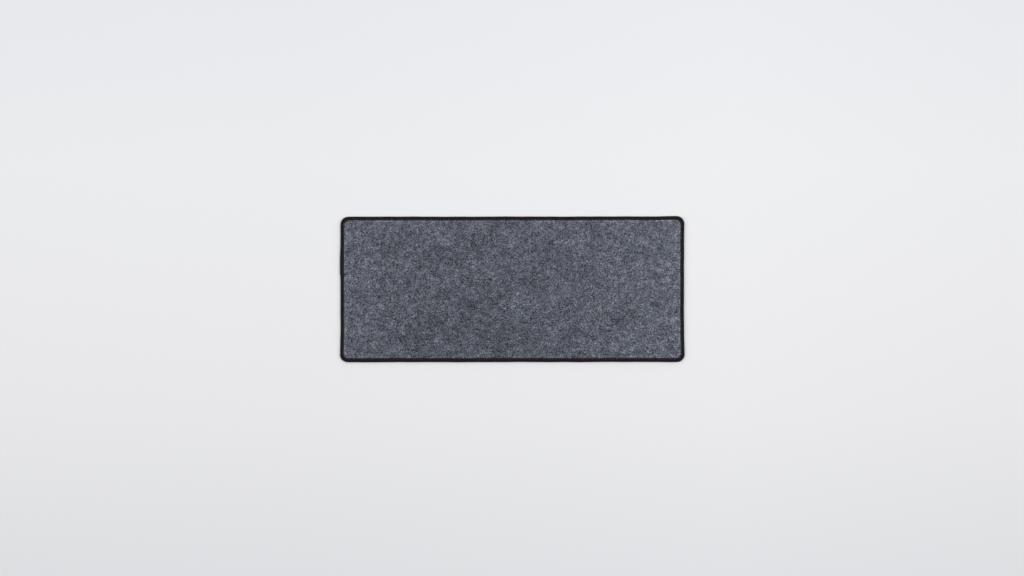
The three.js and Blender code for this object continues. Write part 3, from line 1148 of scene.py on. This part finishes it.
@dataclass
class FeltTop:
    """Felt layer with its pressed margin, the puckers along the needle line and its loose fibres."""

    outline: Outline
    levels: Levels
    stations_per_stitch: int = 4
    # Inset past the cut edge, and share of the way from the film to the pressed top
    cut_side: tuple[Pair, ...] = (
        (0.3 * MM, 0.0),
        (0.0, 0.12),
        (0.0, 0.59),
        (0.2 * MM, 0.88),
        (0.7 * MM, 1.0),
    )
    # Inset past the needle line, share of the rise to the full height, and share of the pucker
    slope: tuple[Triple, ...] = (
        (-0.8 * MM, 0.0, 0.3),
        (0.0, 0.0, 0.6),
        (0.7 * MM, 0.42, 1.0),
        (1.5 * MM, 0.76, 0.7),
        (2.5 * MM, 0.94, 0.3),
    )
    pucker: float = 0.3 * MM
    # Painted light: how far the tone of each loop of the margin is lifted, from the underside inwards
    painted_margin_light: tuple[float, ...] = (0.0, 0.0, 0.0, 0.0, 0.5, 1.0, 1.0, 1.0, 1.0, 0.8, 0.4)
    field_corner: float = 6.0 * MM
    grid_step: float = 4.0 * MM
    grid_jitter: float = 0.18
    grid_gap: float = 0.5
    merge_distance: float = 1e-7
    unevenness: float = 0.06 * MM
    wave_lengths: Pair = (12.0 * MM, 160.0 * MM)
    wave_count: int = 24
    fibre_count: int = 6100
    fibre_length: float = 8.0 * MM
    fibre_radius: float = 0.055 * MM
    fibre_tip: float = 0.55
    fibre_arch: float = 0.28 * MM
    fibre_sink: float = 0.02 * MM
    fibre_points: int = 6
    fibre_sides: int = 3
    fibre_bends: tuple[float, ...] = (0.4, 1.1, 1.9)
    fibre_sway: float = 0.4
    fibre_sway_turn: float = 4.0
    fibre_sizes: Pair = (0.55, 1.3)
    fibre_tilt: float = 0.05
    seed: int = 7

    def build(self) -> list[bpy.types.Object]:
        """Make the felt's closed mesh and its fibres.

        Returns:
            The felt, then the fibres of each tone.
        """
        count = self.stations_per_stitch * round(self.outline.length / self.levels.stitch_pitch)
        loops = self.margin(self.outline.even(count), count)
        rim = loops[-1]
        inner, triangles = self.open_field(rim)
        points = np.vstack([*loops, inner])
        shift = (len(loops) - 1) * count
        faces = [list(range(count - 1, -1, -1)), *loop_faces(len(loops), count)]
        faces += [[corner + shift for corner in triangle] for triangle in triangles]
        felt = new_piece("felt_sheet", points, faces)
        # Painted light on the margin, carried as a number on each point
        margin = np.zeros(len(points))
        margin[: len(loops) * count] = np.repeat(self.painted_margin_light, count)
        felt.data.attributes.new("margin", "FLOAT", "POINT").data.foreach_set("value", margin)
        top = (np.vstack([rim, inner]), triangles)
        return [felt, *(self.fibres(top, tone, self.seed + n) for n, tone in enumerate(FibreTone))]

    def margin(self, stations: Stations, count: int) -> list[np.ndarray]:
        """Lay the loops from the underside round the cut edge to where the flat field starts.

        Args:
            stations: places along the outline.
            count: number of places.

        Returns:
            The loops.
        """
        levels = self.levels
        phase = math.tau * np.arange(count) / self.stations_per_stitch
        dimple = self.pucker * (0.5 + 0.5 * np.cos(phase))
        edge = levels.pressed_top - levels.film_top
        rise = levels.felt_top - levels.pressed_top
        loops = [
            stations.ring(levels.cut_edge + inset, levels.film_top + share * edge)
            for inset, share in self.cut_side
        ]
        for inset, share, depth in self.slope:
            height = levels.pressed_top + share * rise - depth * dimple
            loops.append(stations.ring(levels.needle_line + inset, height))
        return [*loops, stations.ring(levels.field_start, levels.felt_top)]

    def open_field(self, rim: np.ndarray) -> Shape:
        """Fill the flat field with an uneven triangle mesh.

        Args:
            rim: loop round the field.

        Returns:
            The inner points, and triangles over the rim's points and then the inner ones.
        """
        rng = np.random.default_rng(self.seed)
        step = self.grid_step
        reach = np.abs(rim[:, :2]).max(axis=0)
        along = np.arange(-reach[0], reach[0], step)
        across = np.arange(-reach[1], reach[1], step * ROW_STEP)
        flat = np.stack(np.meshgrid(along, across), axis=-1)
        flat[1::2, :, 0] += 0.5 * step
        flat = flat.reshape(-1, 2)
        flat += rng.uniform(-step, step, flat.shape) * self.grid_jitter
        flat = flat[self.inside(flat, rim, self.grid_gap * step)]
        every = [Vector(point) for point in np.vstack([rim[:, :2], flat])]
        loops = [list(range(len(rim)))]
        made = delaunay_2d_cdt(every, [], loops, KEEP_INSIDE, self.merge_distance)
        _, _, faces, sources, *_ = made
        order = [source[0] for source in sources]
        triangles = [[order[corner] for corner in face] for face in faces]
        lift = self.levels.felt_top + self.unevenness * self.waves(flat, rng)
        return np.column_stack([flat, lift]), triangles

    def inside(self, points: np.ndarray, rim: np.ndarray, clearance: float) -> np.ndarray:
        """Tell which points lie inside the field.

        Args:
            points: flat points.
            rim: loop round the field.
            clearance: least distance from the rim.

        Returns:
            One truth value per point.
        """
        high = rim[:, :2].max(axis=0)
        low = rim[:, :2].min(axis=0)
        box = 0.5 * (high - low) - self.field_corner
        past = np.maximum(np.abs(points - 0.5 * (high + low)) - box, 0.0)
        return np.hypot(past[:, 0], past[:, 1]) < self.field_corner - clearance

    def waves(self, points: np.ndarray, rng: np.random.Generator) -> np.ndarray:
        """Work out a gentle unevenness.

        Args:
            points: flat points.
            rng: random numbers.

        Returns:
            One height per point, about 1 either way.
        """
        total = np.zeros(len(points))
        for length in np.geomspace(*self.wave_lengths, self.wave_count):
            angle, phase = rng.uniform(0.0, math.tau, 2)
            heading = np.array([math.cos(angle), math.sin(angle)])
            total += np.sin(math.tau * (points @ heading) / length + phase)
        return total / math.sqrt(0.5 * self.wave_count)

    def fibres(self, top: Shape, tone: FibreTone, seed: int) -> bpy.types.Object:
        """Scatter loose fibres of one tone over the felt.

        Args:
            top: points and triangles of the felt's upper face.
            tone: tone of the fibres.
            seed: seed of the scatter.

        Returns:
            The fibres.
        """
        name = f"{tone.name.lower()}_fibres"
        shapes = bpy.data.collections.new("fibre_shapes")
        for number, bend in enumerate(self.fibre_bends):
            shape = new_piece(f"fibre_shape_{number}", *self.fibre(bend, number))
            bpy.context.scene.collection.objects.unlink(shape)
            shapes.objects.link(shape)
        host = new_piece(name, *top)
        area = sum(face.area for face in host.data.polygons)
        ScatterTree().grow(
            host,
            shapes=shapes,
            density=self.fibre_count / area,
            least_size=self.fibre_sizes[0],
            greatest_size=self.fibre_sizes[1],
            tilt=self.fibre_tilt,
            seed=seed,
            material=FibreFinish(name, tone=tone).material(),
        )
        for shape in list(shapes.objects):
            drop_piece(shape)
        bpy.data.collections.remove(shapes)
        return host

    def fibre(self, bend: float, number: int) -> Shape:
        """Make one curved fibre, lying almost flat.

        Args:
            bend: turn from end to end in radians.
            number: number of the shape, which sets where its sway starts.

        Returns:
            Points and faces of a closed tube.
        """
        count = self.fibre_points
        share = np.linspace(0.0, 1.0, count)
        sway = np.sin(self.fibre_sway_turn * share + number)
        heading = bend * (share - 0.5) + self.fibre_sway * sway
        steps = np.column_stack([np.cos(heading), np.sin(heading)]) * self.fibre_length / count
        flat = np.cumsum(steps, axis=0)
        flat -= flat.mean(axis=0)
        arch = np.sin(math.pi * share)
        height = self.fibre_arch * arch - self.fibre_sink
        side = np.column_stack([-np.sin(heading), np.cos(heading)])
        thin = self.fibre_radius * (self.fibre_tip + (1.0 - self.fibre_tip) * arch)
        lines = []
        for corner in range(self.fibre_sides):
            angle = math.pi * (0.5 - 2.0 * corner / self.fibre_sides)
            wide = flat + side * (thin * math.cos(angle))[:, None]
            lines.append(np.column_stack([wide, height + thin * math.sin(angle)]))
        return np.stack(lines, axis=1).reshape(-1, 3), skin(count, self.fibre_sides)

    def dress(self, pieces: Sequence[bpy.types.Object], support: bpy.types.Object) -> None:
        """Give the felt its finish and hand it over with its fibres.

        Args:
            pieces: the felt, then its fibres.
            support: piece that the felt lies on; not used.
        """
        felt, *fibres = pieces
        outline = self.outline
        finish = FeltFinish(half_width=0.5 * outline.width, half_depth=0.5 * outline.depth)
        felt.data.materials.append(finish.material())
        publish(felt, Slot.FELT, "felt_top")
        for piece in fibres:
            publish(piece, Slot.FELT)


@dataclass
class Backing:
    """Rubber base with its studs, and the adhesive film between it and the felt."""

    outline: Outline
    levels: Levels
    stations: int = 436
    # Insets past the needle line between which the underside is pressed up
    pressing: Pair = (0.6 * MM, 2.1 * MM)
    edge_rounding: float = 0.3 * MM
    crease: float = 40.0
    stud_spacing: float = 5.4 * MM
    stud_radius: float = 1.25 * MM
    stud_foot: float = 0.9 * MM
    stud_root: float = 0.05 * MM
    stud_sides: int = 6
    stud_margin: float = 4.0 * MM
    seed: int = 1

    def build(self, material: bpy.types.Material) -> list[bpy.types.Object]:
        """Make the three pieces.

        Args:
            material: finish of the studs.

        Returns:
            The rubber, the studs and the film.
        """
        levels = self.levels
        high, low = self.pressing
        edge = [
            (levels.needle_line + low, levels.stud_height),
            (levels.needle_line + high, levels.pressed_bottom),
            (levels.cut_edge + self.edge_rounding, levels.pressed_bottom),
            (levels.cut_edge, levels.pressed_bottom + self.edge_rounding),
            (levels.cut_edge, levels.rubber_top),
        ]
        rubber = self.slab("rubber_sheet", edge)
        edge = [(levels.film_edge, levels.rubber_top), (levels.film_edge, levels.film_top)]
        return [rubber, self.studs(material), self.slab("adhesive_web", edge)]

    def slab(self, name: str, profile: Sequence[Pair]) -> bpy.types.Object:
        """Make a closed sheet from the profile of its edge.

        Args:
            name: name of the piece.
            profile: insets and heights from the underside to the top.

        Returns:
            The sheet.
        """
        stations = self.outline.even(self.stations)
        loops = [stations.ring(inset, height) for inset, height in profile]
        piece = new_piece(name, np.vstack(loops), skin(len(loops), self.stations))
        piece.data.set_sharp_from_angle(angle=math.radians(self.crease))
        return piece

    def studs(self, material: bpy.types.Material) -> bpy.types.Object:
        """Repeat the stud over the underside.

        Args:
            material: finish of the studs.

        Returns:
            The studs.
        """
        margin = 2.0 * (self.levels.field_start + self.stud_margin)
        width = self.outline.width - margin
        depth = self.outline.depth - margin
        circle = Outline.facing(4.0 * np.arange(self.stud_sides) / self.stud_sides)
        root_height = self.levels.stud_height + self.stud_root
        loops = [
            np.column_stack([radius * circle, np.full(self.stud_sides, height)])
            for radius, height in ((self.stud_foot, 0.0), (self.stud_radius, root_height))
        ]
        stud = new_piece("stud_shape", np.vstack(loops), skin(2, self.stud_sides))
        stud.data.shade_flat()
        host = new_piece("rubber_studs", np.zeros((1, 3)), [])
        StudTree().grow(
            host,
            stud=stud,
            width=width,
            depth=depth,
            columns=round(width / self.stud_spacing) + 1,
            rows=round(depth / (ROW_STEP * self.stud_spacing)) + 1,
            seed=self.seed,
            material=material,
        )
        drop_piece(stud)
        return host

    def dress(self, pieces: Sequence[bpy.types.Object], material: bpy.types.Material) -> None:
        """Give the pieces their finishes and hand them over.

        Args:
            pieces: rubber, studs and film.
            material: finish of the rubber.
        """
        rubber, studs, film = pieces
        rubber.data.materials.append(material)
        film.data.materials.append(FilmFinish().material())
        publish(rubber, Slot.RUBBER, "rubber_base")
        publish(studs, Slot.RUBBER)
        publish(film, Slot.ADHESIVE, "adhesive_film")


@dataclass(frozen=True)
class Stitch:
    """One repeat of a thread: its way, of which the second half mirrors the first, and its section."""

    name: str
    # Insets and heights of the line on which the thread lies, from its inner side outwards
    contour: tuple[Pair, ...]
    # Share of the pitch along the seam, share of the contour, and share of the width
    first_half: tuple[Triple, ...]
    half_width: float
    half_height: float
    lean: float = 0.0
    sides: int = 6
    slope_reach: float = 0.02

    def build(self, pitch: float) -> bpy.types.Object:
        """Make the stitch's closed tube, with x along the seam, y inwards and z up.

        Args:
            pitch: length of one repeat.

        Returns:
            The stitch.
        """
        line = np.array(self.contour)
        marks = np.concatenate([[0.0], np.cumsum(np.hypot(*np.diff(line, axis=0).T))])
        half = np.array(self.first_half)
        along, share, swell = np.vstack([half, half[::-1] * (-1.0, 1.0, 1.0)]).T
        at = share * marks[-1]
        near = self.slope_reach * marks[-1]
        behind, across, ahead = (
            np.column_stack([np.interp(at + step, marks, line[:, axis]) for axis in (0, 1)])
            for step in (-near, 0.0, near)
        )
        centres = np.column_stack([along * pitch + self.lean * (share - 0.5), across])
        slope = ahead - behind
        normals = np.column_stack([np.zeros(len(at)), slope[:, 1], -slope[:, 0]])
        heading = np.gradient(centres, axis=0)
        heading[0] = heading[-1] = (1.0, 0.0, 0.0)
        heading /= np.linalg.norm(heading, axis=1)[:, None]
        side = np.cross(heading, normals)
        side /= np.linalg.norm(side, axis=1)[:, None]
        normals = np.cross(side, heading)
        turn = math.tau * np.arange(self.sides) / self.sides
        width = self.half_width * swell
        spread = np.cos(turn)[None, :, None] * side[:, None] * width[:, None, None]
        lift = np.sin(turn)[None, :, None] * normals[:, None] * self.half_height
        return self.tube(centres[:, None] + spread + lift)

    def tube(self, rings: np.ndarray) -> bpy.types.Object:
        """Skin the rings and map length and turn on the skin.

        Args:
            rings: rings of points.

        Returns:
            The stitch.
        """
        count = len(rings)
        piece = new_piece(f"{self.name}_stitch", rings.reshape(-1, 3), skin(count, self.sides))
        centres = rings.mean(axis=1)
        run = np.concatenate([[0.0], np.cumsum(np.linalg.norm(np.diff(centres, axis=0), axis=1))])
        layer = piece.data.uv_layers.new(name="UVMap")
        spots = np.zeros((len(piece.data.loops), 2))
        for number in range((count - 1) * self.sides):
            level, place = divmod(number, self.sides)
            corners = ((level, place), (level, place + 1), (level + 1, place + 1), (level + 1, place))
            for corner, (ring, turn) in enumerate(corners):
                spots[4 * number + corner] = (run[ring], turn / self.sides)
        layer.data.foreach_set("uv", spots.ravel())
        return piece


@dataclass
class OverlockSeam:
    """Overlocked edge: two looper threads, the needle thread and the short run sewn twice."""

    outline: Outline
    levels: Levels
    path_step: float = 1.5 * MM
    unevenness: float = 0.02
    overlap_start: float = 31.0 * MM
    overlap_length: float = 54.0 * MM
    lead_in: float = 4.0
    no_lead_in: float = 0.001
    narrowing: float = 0.35
    sinking: float = 0.1
    looper_half_width: float = 1.12 * MM
    seed: int = 31
    looped: tuple[Triple, ...] = (
        (-0.5, 0.0, 0.62),
        (-0.33, 0.05, 0.9),
        (-0.25, 0.28, 1.0),
        (-0.25, 0.66, 1.0),
        (-0.21, 0.88, 0.95),
        (-0.09, 0.98, 0.7),
    )
    hop: tuple[Triple, ...] = ((-0.5, 0.0, 1.0), (-0.36, 0.75, 1.0), (-0.12, 1.0, 1.0))

    def path(self) -> bpy.types.Object:
        """Make the closed curve that the stitches follow.

        Returns:
            The curve, with the depth of the seam as the radius of its points.
        """
        count = round(self.outline.length / self.path_step)
        stations = self.outline.even(count)
        curve = bpy.data.curves.new("seam_path", "CURVE")
        curve.dimensions = "3D"
        spline = curve.splines.new("POLY")
        spline.points.add(count - 1)
        spots = np.column_stack([stations.places, np.zeros(count), np.ones(count)])
        spline.points.foreach_set("co", spots.ravel())
        spline.points.foreach_set("radius", stations.bite)
        spline.use_cyclic_u = True
        return link("seam_path", curve)

    def stitches(self) -> list[Stitch]:
        """Describe the four threads.

        Returns:
            Upper looper, lower looper, needle thread and overlap.
        """
        top = self.levels.band_top
        lean = self.levels.stitch_lean
        line = self.levels.needle_line
        pressed = self.levels.pressed_top
        wide = self.looper_half_width
        upper = (
            (5.9 * MM, pressed + 0.4 * MM),
            (4.6 * MM, top - 0.5 * MM),
            (1.5 * MM, top - 0.6 * MM),
            (0.3 * MM, top - 1.6 * MM),
            (0.15 * MM, 1.5 * MM),
        )
        lower = (
            (5.8 * MM, 0.34 * MM),
            (1.4 * MM, 0.32 * MM),
            (0.3 * MM, 0.9 * MM),
            (0.15 * MM, 2.5 * MM),
        )
        overlap = (
            (5.2 * MM, top - 0.1 * MM),
            (4.3 * MM, top + 0.25 * MM),
            (1.2 * MM, top + 0.1 * MM),
            (-0.6 * MM, top - 1.5 * MM),
            (-0.7 * MM, 1.1 * MM),
        )
        needle = ((line, pressed - 0.3 * MM), (line, pressed + 0.45 * MM))
        return [
            Stitch("upper_looper", upper, self.looped, wide, half_height=0.52 * MM, lean=lean),
            Stitch("lower_looper", lower, self.looped, wide, half_height=0.32 * MM, lean=-lean),
            Stitch("needle_line", needle, self.hop, half_width=0.42 * MM, half_height=0.36 * MM),
            Stitch("seam_lap", overlap, self.looped, wide, half_height=0.45 * MM, lean=lean),
        ]

    def build(self, material: bpy.types.Material) -> list[bpy.types.Object]:
        """Sew the four threads.

        Args:
            material: finish of the yarn.

        Returns:
            The threads.
        """
        path = self.path()
        tree = SewnTree()
        pitch = self.levels.stitch_pitch
        whole = round(self.outline.length / pitch)
        middle = self.outline.run_start(list(Side).index(Side.LEFT)) + self.outline.reach[1]
        begin = middle - self.overlap_start - self.overlap_length
        once = {"stitches": whole, "start": 0.0, "span": 1.0, "lead_in": self.no_lead_in}
        twice = {
            "stitches": round(self.overlap_length / pitch),
            "start": begin / self.outline.length,
            "span": self.overlap_length / self.outline.length,
            "lead_in": self.lead_in,
        }
        plans = (once, {**once, "start": 0.5 / whole}, once, twice)
        threads = []
        for number, (stitch, plan) in enumerate(zip(self.stitches(), plans)):
            shape = stitch.build(pitch)
            host = new_piece(stitch.name, np.zeros((1, 3)), [])
            tree.grow(
                host,
                path=path,
                stitch=shape,
                stitch_length=pitch,
                **plan,
                unevenness=self.unevenness,
                narrowing=self.narrowing,
                sinking=self.sinking,
                seed=self.seed + number,
                material=material,
            )
            host.data.shade_smooth()
            drop_piece(shape)
            threads.append(host)
        drop_piece(path)
        return threads

    def dress(self, threads: Sequence[bpy.types.Object]) -> None:
        """Hand the threads over.

        Args:
            threads: upper looper, lower looper, needle thread and overlap.
        """
        nodes = ("upper_looper_thread", "lower_looper_thread", "needle_thread", "seam_overlap")
        for thread, node in zip(threads, nodes):
            publish(thread, Slot.THREAD, node)


@dataclass(frozen=True)
class Lamp:
    """Broad far-off light: its share of the level, its tilt from overhead, and where it stands."""

    name: str
    level: float
    tilt: float
    turn: float
    angle: float

    def build(self) -> None:
        """Make the lamp; a turn of nought is the far side and one of 90 the right."""
        data = bpy.data.lights.new(self.name, "SUN")
        tilt = math.radians(self.tilt)
        turn = math.radians(self.turn)
        data.angle = math.radians(self.angle)
        data.energy = math.pi * self.level / math.cos(tilt)
        aim = Vector((math.sin(turn) * math.sin(tilt), math.cos(turn) * math.sin(tilt), math.cos(tilt)))
        link(self.name, data).rotation_euler = aim.to_track_quat("Z", "Y").to_euler()


@dataclass(frozen=True)
class Studio:
    """Pale table, soft lights overhead, beside and beyond it, and a camera straight above."""

    floor_size: float = 40.0
    floor_gap: float = 0.02 * MM
    ambient: float = 0.1
    lamps: tuple[Lamp, ...] = (
        Lamp("overhead", level=0.22, tilt=14.0, turn=0.0, angle=70.0),
        Lamp("right", level=0.19, tilt=55.0, turn=90.0, angle=48.0),
        Lamp("key", level=0.11, tilt=42.0, turn=90.0, angle=18.0),
        Lamp("left", level=0.25, tilt=56.0, turn=-90.0, angle=48.0),
        Lamp("far", level=0.13, tilt=60.0, turn=0.0, angle=48.0),
    )
    backdrop: Colour = linear(236, 237, 239)
    lens: float = 50.0
    sensor: float = 36.0
    # Width of the view and the height above the table at which it has that width
    view_width: float = 2.0826
    view_height: float = 4.0 * MM
    far_clip: float = 100.0
    # How far the pad stands right of the frame's middle and below it, in pixels of that frame
    shift_right: float = 0.3
    shift_down: float = 1.3
    roll: float = -0.05
    frame_width: float = 1024.0

    def build(self) -> None:
        """Make the table, the light and the camera."""
        self.table()
        self.light()
        self.camera()

    def table(self) -> None:
        """Lay the table."""
        reach = 0.5 * self.floor_size
        corners = np.array([(-1, -1, 0), (1, -1, 0), (1, 1, 0), (-1, 1, 0)]) * reach
        floor = new_piece("table", corners - (0.0, 0.0, self.floor_gap), [[0, 1, 2, 3]])
        floor.data.materials.append(FloorFinish().material())

    def light(self) -> None:
        """Set the sky and the lamps."""
        world = bpy.data.worlds.new("studio")
        bpy.context.scene.world = world
        world.use_nodes = True
        graph = NodeGraph(world.node_tree)
        inputs = {0: graph.node("ShaderNodeLightPath").outputs["Is Camera Ray"]}
        skies = (((1.0, 1.0, 1.0), self.ambient), (self.backdrop, 1.0))
        for slot, (colour, strength) in enumerate(skies, start=1):
            constants = {"Color": (*colour, 1.0), "Strength": strength}
            inputs[slot] = graph.node("ShaderNodeBackground", constants).outputs[0]
        mixed = graph.node("ShaderNodeMixShader", inputs)
        graph.node("ShaderNodeOutputWorld", {"Surface": mixed.outputs[0]})
        for lamp in self.lamps:
            lamp.build()

    def camera(self) -> None:
        """Set the camera and the colour view."""
        data = bpy.data.cameras.new("camera")
        data.lens = self.lens
        data.sensor_width = self.sensor
        data.clip_end = self.far_clip
        camera = link("camera", data)
        pixel = self.view_width / self.frame_width
        height = self.view_width * self.lens / self.sensor + self.view_height
        camera.location = (-self.shift_right * pixel, self.shift_down * pixel, height)
        camera.rotation_euler.z = math.radians(self.roll)
        bpy.context.scene.camera = camera
        bpy.context.scene.view_settings.view_transform = "Standard"


def main() -> None:
    """Build the pad and its stage."""
    logging.basicConfig(level=logging.INFO)
    LOG.info("frame with %d nodes", len(frame["nodes"]))
    levels = Levels.from_frame()
    low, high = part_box("upper_looper_thread")
    outline = Outline(high.x - low.x, high.y - low.y)
    rubber = RubberFinish().material()
    backing = Backing(outline, levels)
    layers = backing.build(rubber)
    backing.dress(layers, rubber)
    felt_top = FeltTop(outline, levels)
    felt_top.dress(felt_top.build(), support=layers[-1])
    seam = OverlockSeam(outline, levels)
    seam.dress(seam.build(ThreadFinish().material()))
    Studio().build()


if __name__ == "__main__":
    main()
